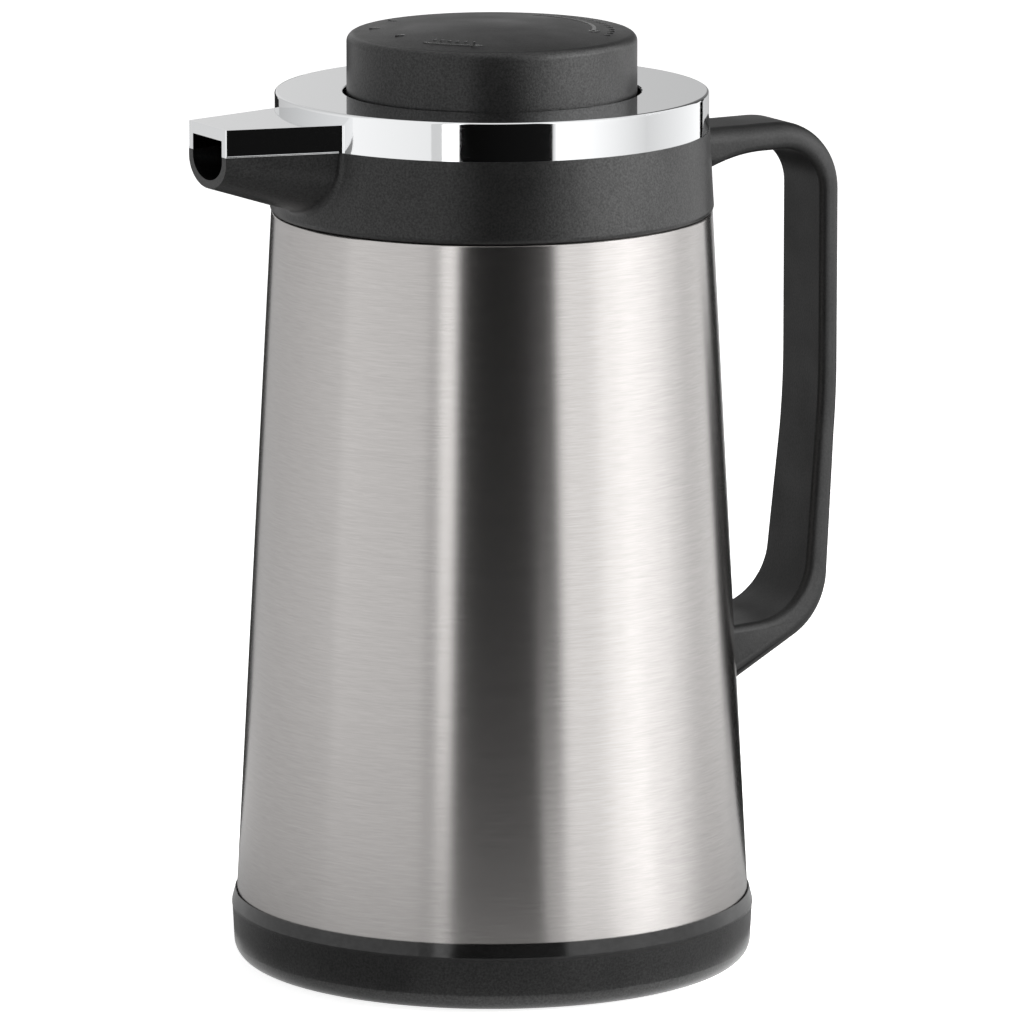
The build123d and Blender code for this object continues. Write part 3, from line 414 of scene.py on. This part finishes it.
def dropMark(radius, turn, size):
    # a disc drawn out to a point on its outer side
    bpy.ops.object.select_all(action="DESELECT")
    bpy.ops.mesh.primitive_cylinder_add(vertices=knobMarks["dropSides"], radius=size * mm / 2, depth=markHeight(),
                                        location=markSpot(radius, turn), rotation=(0, 0, math.radians(turn)))
    drop = bpy.context.object
    bpy.ops.object.mode_set(mode="EDIT")
    bpy.ops.mesh.select_all(action="DESELECT")
    bpy.ops.object.mode_set(mode="OBJECT")
    for corner in drop.data.vertices:
        corner.select = corner.co.x > size * mm * 0.49
    bpy.ops.object.mode_set(mode="EDIT")
    out = Vector((math.cos(math.radians(turn)), math.sin(math.radians(turn)), 0))
    bpy.ops.transform.translate(value=out * size * mm * knobMarks["dropPoint"])
    return finishMark()


print("knob marks")
marks = []
for radius, start, end, side in knobMarks["arcs"]:
    marks.append(arcMark(radius, start, end))
    marks.append(headMark(radius, end, side))
for radius, start, end, count, length in knobMarks["bars"]:
    for i in range(count):
        marks.append(barMark(radius, start + (end - start) * i / (count - 1), length))
for radius, turn, size in knobMarks["drops"]:
    marks.append(dropMark(radius, turn, size))
bpy.ops.object.select_all(action="DESELECT")
for mark in marks:
    mark.select_set(True)
bpy.context.view_layer.objects.active = marks[0]
bpy.ops.object.join()
knobMark = bpy.context.object
knobMark.name = "knobMarks"
softEdge = knobMark.modifiers.new("softEdge", "BEVEL")
softEdge.width = knobMarks["bevel"] * mm
softEdge.segments = 2
softEdge.limit_method = "ANGLE"
bpy.ops.object.modifier_apply(modifier=softEdge.name)
bpy.ops.object.shade_smooth_by_angle(angle=math.radians(40))
knobMark.data.materials.append(markPlastic)
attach(knobMark, "knob")

# plated ring's rounded upper edge, a hair proud of the solid ring
ringEdge = {"radius": 59.5, "top": 242.8, "round": 0.75, "proud": 0.02, "edgeSteps": 8, "turnSteps": 256}


def ringEdgeLine():
    # a quarter round laid over the edge, closed underneath
    f = ringEdge
    side, crown, turn = f["radius"] + f["proud"], f["top"] + f["proud"], f["round"]
    arc = quarterRound(side - turn, crown - turn, turn, f["edgeSteps"])
    return [(side - turn, crown)] + arc + [(side - turn, crown - turn), (side - turn, crown)]


print("ring edge")
edge = turnedPiece("ringEdge", ringEdgeLine(), ringEdge["turnSteps"], chrome)
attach(edge, "housing")

# handle: side view between two lines of straight runs and arcs, each corner as (x, height, arc radius)
handleForm = {
    "inner": [(49.7, 212.6, 0), (74.0, 220.7, 45), (99.6, 220.7, 12.5), (99.6, 150, 260), (93.9, 89.0, 17.6),
              (49.7, 87.0, 0)],
    "outer": [(49.7, 228.2, 0), (74.0, 228.2, 0), (106.3, 228.2, 20), (106.3, 150, 260), (101.6, 88.4, 21.5),
              (49.7, 62.3, 0)],
    "arcSteps": [8, 20, 10, 20], "straight": (-14, 11),  # straight stretch: start from its corner, length
    "half": 11.2, "footHalf": 17.5, "flareTop": 135.0, "flareFoot": 60.5,
    "backRound": 4.2, "fingerRound": 2.2, "roundSteps": 7,
}
# what the handle is cut to: steel cone and collar, a little inside their surface
bodyCone = {
    "low": 40.0, "seam": 209.6, "ringFoot": 232.2, "sunk": 0.3, "steps": 192,
    "steelLow": 69.79, "steelHigh": 60.6, "collarLow": 61.0, "collarHigh": 59.7,
}


def softLine(corners):
    # straight runs joined by arcs, as places along the line
    line = [corners[0][:2]]
    for i, count in enumerate(handleForm["arcSteps"], 1):
        here, radius = Vector(corners[i][:2]), corners[i][2]
        back = (Vector(corners[i - 1][:2]) - here).normalized()
        on = (Vector(corners[i + 1][:2]) - here).normalized()
        if radius == 0:
            # a straight stretch with as many places as the arc that faces it
            start, length = handleForm["straight"]
            line += [tuple(here + on * (length * k / count + start)) for k in range(count + 1)]
            continue
        half = back.angle(on) / 2
        reach = radius / math.tan(half)
        middle = here + (back + on).normalized() * (radius / math.sin(half))
        start, end = here + back * reach - middle, here + on * reach - middle
        first = math.atan2(start.y, start.x)
        sweep = (math.atan2(end.y, end.x) - first + math.pi) % (2 * math.pi) - math.pi
        angles = [first + sweep * k / count for k in range(count + 1)]
        line += [(middle.x + radius * math.cos(a), middle.y + radius * math.sin(a)) for a in angles]
    return line + [corners[-1][:2]]


def pickVertices(piece, test):
    bpy.ops.object.mode_set(mode="EDIT")
    bpy.ops.mesh.select_mode(type="VERT")
    bpy.ops.mesh.select_all(action="DESELECT")
    bpy.ops.object.mode_set(mode="OBJECT")
    for corner in piece.data.vertices:
        corner.select = test(corner.co / mm)
    bpy.ops.object.mode_set(mode="EDIT")


def pickEdges(piece, test):
    bpy.ops.object.mode_set(mode="EDIT")
    bpy.ops.mesh.select_mode(type="EDGE")
    bpy.ops.mesh.select_all(action="DESELECT")
    bpy.ops.object.mode_set(mode="OBJECT")
    for line in piece.data.edges:
        line.select = test(*(piece.data.vertices[v].co / mm for v in line.vertices))
    bpy.ops.object.mode_set(mode="EDIT")


def halfWidth(height):
    # straight above, flared to the foot
    f = handleForm
    drop = max(0, (f["flareTop"] - height) / (f["flareTop"] - f["flareFoot"]))
    return f["half"] + (f["footHalf"] - f["half"]) * drop ** 2


def onLine(line, spot, gap=0.01):
    return min((Vector(place) - Vector((spot.x, spot.z))).length for place in line) < gap


def handleBlank(innerLine, outerLine):
    # the strip between the two lines, drawn out across its width
    half = handleForm["half"] * mm
    outer = walkLine(outerLine)
    walkLine(innerLine)
    outer.select_set(True)
    bpy.ops.object.join()
    bpy.ops.object.mode_set(mode="EDIT")
    bpy.ops.mesh.select_all(action="SELECT")
    bpy.ops.mesh.bridge_edge_loops()
    bpy.ops.mesh.select_all(action="SELECT")
    bpy.ops.transform.translate(value=(0, -half, 0))
    bpy.ops.mesh.extrude_region_move(TRANSFORM_OT_translate={"value": (0, 2 * half, 0)})
    bpy.ops.mesh.select_all(action="SELECT")
    bpy.ops.mesh.normals_make_consistent(inside=False)
    bpy.ops.object.mode_set(mode="OBJECT")
    return bpy.context.object


def flareFoot(handle, places):
    # each level below the flare's top widened on its own
    levels = sorted({round(place[1], 4) for place in places if place[1] < handleForm["flareTop"]})
    for level in levels:
        pickVertices(handle, lambda spot: abs(spot.z - level) < 0.001)
        bpy.ops.transform.resize(value=(1, halfWidth(level) / handleForm["half"], 1), center_override=(0, 0, 0))
        bpy.ops.object.mode_set(mode="OBJECT")


def roundAlong(handle, line, turn):
    # rounds the two edges that follow a line
    side = handleForm["half"] - 0.01
    pickEdges(handle, lambda one, two: onLine(line, one) and onLine(line, two) and one.y * two.y > 0
              and min(abs(one.y), abs(two.y)) > side)
    bpy.ops.mesh.bevel(offset=turn * mm, segments=handleForm["roundSteps"], profile=0.5, affect="EDGES",
                       loop_slide=False)
    bpy.ops.object.mode_set(mode="OBJECT")


def scribeToBody(handle):
    # cuts away what would stand inside the body
    f, sunk = bodyCone, bodyCone["sunk"]
    cone = [(0, f["low"]), (f["steelLow"] - sunk, f["low"]), (f["steelHigh"] - sunk, f["seam"]),
            (f["collarLow"] - sunk, f["seam"]), (f["collarHigh"] - sunk, f["ringFoot"]), (0, f["ringFoot"])]
    cutter = turnedPiece("bodyCutter", cone, f["steps"], chrome)
    bpy.ops.object.select_all(action="DESELECT")
    handle.select_set(True)
    bpy.context.view_layer.objects.active = handle
    scribe = handle.modifiers.new("scribe", "BOOLEAN")
    scribe.operation = "DIFFERENCE"
    scribe.solver = "EXACT"
    scribe.object = cutter
    bpy.ops.object.modifier_apply(modifier=scribe.name)
    smoothPiece(handle, 35)
    bpy.ops.object.select_all(action="DESELECT")
    cutter.select_set(True)
    bpy.context.view_layer.objects.active = cutter
    bpy.ops.object.delete()


print("handle")
innerLine, outerLine = softLine(handleForm["inner"]), softLine(handleForm["outer"])
handle = handleBlank(innerLine, outerLine)
handle.name = "handleGrip"
flareFoot(handle, innerLine + outerLine)
roundAlong(handle, outerLine, handleForm["backRound"])
roundAlong(handle, innerLine, handleForm["fingerRound"])
scribeToBody(handle)
handle.data.materials.clear()
handle.data.materials.append(handlePlastic)
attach(handle, "housing")
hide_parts("handle_shell", "handle_cover")

# bright lower rims of the plated cover, where the two halves of the spout meet
coverRim = {"thick": 0.55, "tip": (-88.2, 10.6, 232.45), "root": (-57.8, 17.95, 232.45), "sides": 10}


def spoutRim(name, side):
    # a thin round bead from the spout's tip to its root; side is 1 or -1
    f = coverRim
    tip = Vector((f["tip"][0], side * f["tip"][1], f["tip"][2])) * mm
    root = Vector((f["root"][0], side * f["root"][1], f["root"][2])) * mm
    along = root - tip
    bpy.ops.object.select_all(action="DESELECT")
    bpy.ops.mesh.primitive_circle_add(vertices=f["sides"], radius=f["thick"] * mm / 2, fill_type="NGON", location=tip,
                                      rotation=along.to_track_quat("Z", "Y").to_euler())
    rim = bpy.context.object
    rim.name = name
    bpy.ops.object.mode_set(mode="EDIT")
    bpy.ops.mesh.select_all(action="SELECT")
    bpy.ops.mesh.extrude_region_move(TRANSFORM_OT_translate={"value": along})
    bpy.ops.mesh.select_all(action="SELECT")
    bpy.ops.mesh.normals_make_consistent(inside=False)
    bpy.ops.object.mode_set(mode="OBJECT")
    bpy.ops.object.transform_apply(location=True, rotation=True, scale=True)
    bpy.ops.object.shade_smooth_by_angle(angle=math.radians(50))
    rim.data.materials.append(chrome)
    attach(rim, "housing")


print("spout rims")
spoutRim("coverRimLeft", -1)
spoutRim("coverRimRight", 1)

print("camera")
camera = {"place": (-1.3434, -2.3551, 0.6584), "look": (0.48789, 0.85130, -0.19303), "lens": 352.13, "sensor": 36.0}
cameraTurn = math.degrees(math.atan2(camera["place"][1], camera["place"][0]))
bpy.ops.object.camera_add(location=camera["place"])
view = bpy.context.object
view.rotation_euler = Vector(camera["look"]).to_track_quat("-Z", "Y").to_euler()
view.data.lens = camera["lens"]
view.data.sensor_width = camera["sensor"]
bpy.context.scene.camera = view
bpy.context.scene.view_settings.view_transform = "Standard"

studio = {
    "floorHalf": 6.0, "floorColour": "f4f4f3", "floorGlow": 0.86, "worldLight": 0.16,
    "cardRadius": 0.46, "cardLift": 0.0008, "floorRadius": 0.08, "floorFade": 0.24, "cardStep": 3,
}
# heights in metres at which upright cards part: the steel sees mostly the lowest part, the plated ring the next,
# and level tops the upper ones
footSplit, rearSplit, backSplit, cardTop = 0.12, 0.27, 0.375, 0.9
# upright cards: degrees to the right of the camera as seen from the carafe, level at each end, foot and head
cards = {
    "leftWall": (-148, -75, 0.60, 1.00, 0, cardTop),
    "leftBox": (-75, -30, 1.15, 1.02, 0, cardTop),
    "leftEdge": (-30, -23.6, 0.66, 0.66, 0, footSplit),
    "edgeStrip": (-23.6, -17.2, 1.9, 1.9, 0, footSplit),
    "frontFlag": (-17.2, 30, 0.006, 0.03, 0, footSplit),
    "leftEdgeHigh": (-30, -24.5, 0.76, 0.76, footSplit, cardTop),
    "edgeStripHigh": (-24.5, -16.0, 1.8, 1.8, footSplit, cardTop),
    "frontFlagHigh": (-16.0, 30, 0.002, 0.008, footSplit, cardTop),
    "flagEdge": (30, 33, 0.6, 1.6, 0, cardTop),
    "rightBox": (33, 84, 1.50, 0.82, 0, cardTop),
    "rightWall": (84, 130, 0.80, 1.18, 0, cardTop),
    "rearFlagRight": (130, 158, 0.0, 0.0, 0, footSplit),
    "rimStrip": (158, 175, 0.66, 0.5, 0, footSplit),
    "rightWallHigh": (130, 138, 1.18, 1.25, footSplit, rearSplit),
    "rearFlagHigh": (138, 143.5, 0.0, 0.0, footSplit, rearSplit),
    "rimStripHigh": (143.5, 175, 0.7, 0.5, footSplit, rearSplit),
    "rearFlagLow": (175, 190, 0.05, 0.05, 0, rearSplit),
    "rimStripLeft": (190, 194, 0.4, 0.6, 0, rearSplit),
    "rearFlagLeft": (194, 211, 0.02, 0.02, 0, rearSplit),
    "rearLeft": (211, 212, 0.5, 0.58, 0, rearSplit),
    "upperRight": (130, 169, 0.05, 0.25, rearSplit, cardTop),
    "upperBack": (169, 192, 0.56, 0.74, rearSplit, backSplit),
    "highBack": (169, 192, 0.04, 0.22, backSplit, cardTop),
    "upperLeft": (192, 212, 0.80, 0.80, rearSplit, cardTop),
}
# the same on the floor: level close to the carafe, where its shade lies, and further out
floorCards = {
    "floorFlag": (-22, 20, 0.60, 0.24),
    "floorRightNear": (20, 70, 0.40, 1.40),
    "floorRight": (70, 137, 0.40, 0.85),
    "floorRearRight": (137, 157, 0.20, 0.0),
    "floorRim": (157, 175, 0.30, 0.50),
    "floorRear": (175, 192, 0.20, 0.05),
    "floorRearLeft": (192, 214, 0.15, 0.02),
    "floorLeft": (-146, -22, 0.28, 0.70),
}


def sweptCard(name, start, end, spot, step):
    # a line from a spot along a step, swept round the carafe; only gloss sees it
    bpy.ops.object.select_all(action="DESELECT")
    bpy.ops.mesh.primitive_plane_add(size=1, location=spot)
    card = bpy.context.object
    card.name = name
    bpy.ops.object.mode_set(mode="EDIT")
    bpy.ops.mesh.select_mode(type="VERT")
    bpy.ops.mesh.select_all(action="SELECT")
    bpy.ops.mesh.merge(type="CENTER")
    bpy.ops.mesh.extrude_vertices_move(TRANSFORM_OT_translate={"value": step})
    bpy.ops.mesh.select_all(action="SELECT")
    bpy.ops.mesh.spin(steps=max(4, int((end - start) / studio["cardStep"])), angle=math.radians(end - start),
                      center=(0, 0, 0), axis=(0, 0, -1))
    bpy.ops.object.mode_set(mode="OBJECT")
    bpy.ops.object.transform_apply(location=True, rotation=True, scale=True)
    card.rotation_euler = (0, 0, math.radians(cameraTurn + start))
    card.visible_camera = False
    card.visible_diffuse = False
    card.visible_shadow = False
    card.visible_transmission = False
    card.visible_volume_scatter = False
    return card


def glowingCloth(card, fade, span, near, far):
    # lit cloth whose glow runs evenly from one level to the other, round the card or outwards
    material, tree = newMaterial(card.name + "Cloth")
    place = addNode(tree, "ShaderNodeTexCoord")
    if fade == "round":
        spot = addNode(tree, "ShaderNodeSeparateXYZ", {}, {0: (place, "Object")})
        angle = addNode(tree, "ShaderNodeMath", {"operation": "ARCTAN2"}, {0: (spot, "Y"), 1: (spot, "X")})
        run, out = addNode(tree, "ShaderNodeMath", {"operation": "ABSOLUTE"}, {0: (angle, 0)}), 0
    else:
        run, out = addNode(tree, "ShaderNodeVectorMath", {"operation": "LENGTH"}, {0: (place, "Object")}), 1
    level = addNode(tree, "ShaderNodeMapRange",
                    {"From Min": span[0], "From Max": span[1], "To Min": near, "To Max": far}, {"Value": (run, out)})
    glow = addNode(tree, "ShaderNodeEmission", {}, {"Strength": (level, 0)})
    addNode(tree, "ShaderNodeOutputMaterial", links={"Surface": (glow, 0)})
    card.data.materials.append(material)


print("cards")
for name, (start, end, near, far, foot, head) in cards.items():
    card = sweptCard(name, start, end, (studio["cardRadius"], 0, foot), (0, 0, head - foot))
    glowingCloth(card, "round", (0, math.radians(end - start)), near, far)
for name, (start, end, near, far) in floorCards.items():
    card = sweptCard(name, start, end, (studio["cardRadius"], 0, studio["cardLift"]),
                     (studio["floorRadius"] - studio["cardRadius"], 0, 0))
    glowingCloth(card, "outwards", (studio["floorRadius"], studio["floorFade"]), near, far)


def seenDirectly(tree):
    # one where camera, gloss or glass looks, nothing for the light that falls on things
    path = addNode(tree, "ShaderNodeLightPath")
    seen = addNode(tree, "ShaderNodeMath", {"operation": "MAXIMUM"},
                   {0: (path, "Is Camera Ray"), 1: (path, "Is Glossy Ray")})
    return addNode(tree, "ShaderNodeMath", {"operation": "MAXIMUM"}, {0: (seen, 0), 1: (path, "Is Transmission Ray")})


print("floor and world")
bpy.ops.object.select_all(action="DESELECT")
bpy.ops.mesh.primitive_plane_add(size=2 * studio["floorHalf"], location=(0, 0, 0))
floor = bpy.context.object
floor.name = "studioFloor"
# pale paper: lit for real, and lifted to white where it is looked at
material, tree = newMaterial("paleFloorPaper")
lift = addNode(tree, "ShaderNodeMath", {"operation": "MULTIPLY", 1: studio["floorGlow"]}, {0: (seenDirectly(tree), 0)})
shader = addNode(tree, "ShaderNodeBsdfPrincipled",
                 {"Base Color": linear(studio["floorColour"]), "Roughness": 0.9, "Emission Color": (1, 1, 1, 1)},
                 {"Emission Strength": (lift, 0)})
addNode(tree, "ShaderNodeOutputMaterial", links={"Surface": (shader, 0)})
floor.data.materials.append(material)

world = bpy.data.worlds.new("studioWorld")
bpy.context.scene.world = world
world.use_nodes = True
tree = world.node_tree
tree.nodes.clear()
level = addNode(tree, "ShaderNodeMapRange", {"To Min": studio["worldLight"], "To Max": 1.0},
                {"Value": (seenDirectly(tree), 0)})
sky = addNode(tree, "ShaderNodeBackground", {"Color": (1, 1, 1, 1)}, {"Strength": (level, 0)})
addNode(tree, "ShaderNodeOutputWorld", links={"Surface": (sky, 0)})

print("lamps")
# degrees to the right of the camera, height and distance in metres, side of the square, watts, seen in gloss
lamps = {
    "keyLamp": (80, 0.55, 1.15, 0.9, 34.0, True),
    "fillLamp": (-70, 0.8, 1.3, 1.0, 2.0, False),
}
lampAim = Vector((0, 0, 0.15))
for name, (side, height, distance, size, power, shows) in lamps.items():
    turn = math.radians(cameraTurn + side)
    place = Vector((distance * math.cos(turn), distance * math.sin(turn), height))
    bpy.ops.object.light_add(type="AREA", location=place)
    lamp = bpy.context.object
    lamp.name = name
    lamp.rotation_euler = (lampAim - place).to_track_quat("-Z", "Y").to_euler()
    lamp.data.size = size
    lamp.data.energy = power
    lamp.visible_glossy = shows
